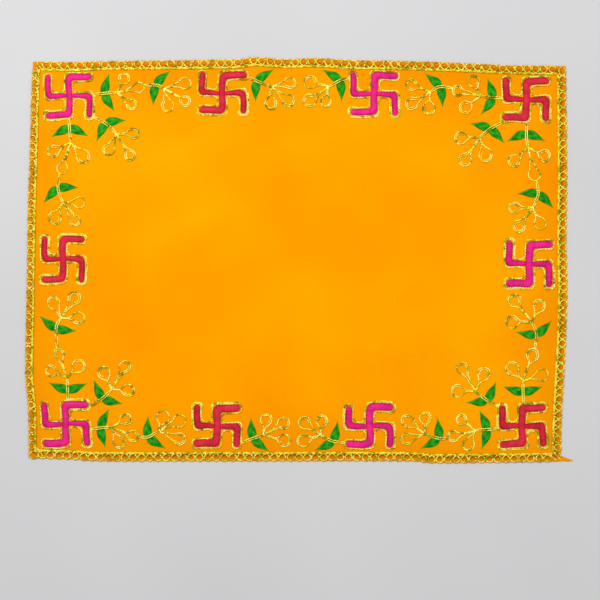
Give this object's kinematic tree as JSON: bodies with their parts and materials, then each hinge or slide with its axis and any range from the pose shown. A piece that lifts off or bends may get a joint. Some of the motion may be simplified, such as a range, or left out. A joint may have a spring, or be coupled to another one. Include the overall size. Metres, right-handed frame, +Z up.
{
  "type": "altar cloth",
  "caption": "Flat orange satin altar cloth with gold cord lace edging, satin-stitched Hindu swastikas outlined in gold cord, and gold sprays with green leaves.",
  "frame": {"origin": "middle of the cloth's whole outline, on the surface it lies on", "axes": "+X along the long side, to the right as the swastikas are read; +Y towards the top edge; +Z up, out of the embroidered face"},
  "size_m": [0.6039, 0.446, 0.004],
  "materials": {
    "satin": "orange satin, soft sheen",
    "lace": "gold metallised cord lace, bright glints",
    "gold_thread": "gold metallised twisted thread, bright glints",
    "pink_thread": "pink satin stitch, silky",
    "red_thread": "red satin stitch, silky",
    "green_thread": "green satin stitch, silky"
  },
  "bodies": {
    "root": {"cloth": "satin", "lace_top": "lace", "lace_right": "lace", "lace_bottom": "lace", "lace_left": "lace", "fill_top_left": "pink_thread", "fill_top_2": "red_thread", "fill_top_3": "pink_thread", "fill_top_right": "red_thread", "fill_left": "red_thread", "fill_right": "pink_thread", "fill_bottom_left": "pink_thread", "fill_bottom_2": "red_thread", "fill_bottom_3": "pink_thread", "fill_bottom_right": "red_thread", "gold_top_left": "gold_thread", "gold_top_2": "gold_thread", "gold_top_3": "gold_thread", "gold_top_right": "gold_thread", "gold_left": "gold_thread", "gold_right": "gold_thread", "gold_bottom_left": "gold_thread", "gold_bottom_2": "gold_thread", "gold_bottom_3": "gold_thread", "gold_bottom_right": "gold_thread", "leaves_01": "green_thread", "leaves_02": "green_thread", "leaves_03": "green_thread", "leaves_04": "green_thread", "leaves_05": "green_thread", "leaves_06": "green_thread", "leaves_07": "green_thread", "leaves_08": "green_thread", "leaves_09": "green_thread", "leaves_10": "green_thread", "leaves_11": "green_thread", "leaves_12": "green_thread", "leaves_13": "green_thread", "leaves_14": "green_thread", "leaves_15": "green_thread", "leaves_16": "green_thread", "leaves_17": "green_thread", "leaves_18": "green_thread", "leaves_19": "green_thread", "leaves_20": "green_thread", "leaves_21": "green_thread", "leaves_22": "green_thread", "leaves_23": "green_thread", "leaves_24": "green_thread"}
  },
  "joints": []
}
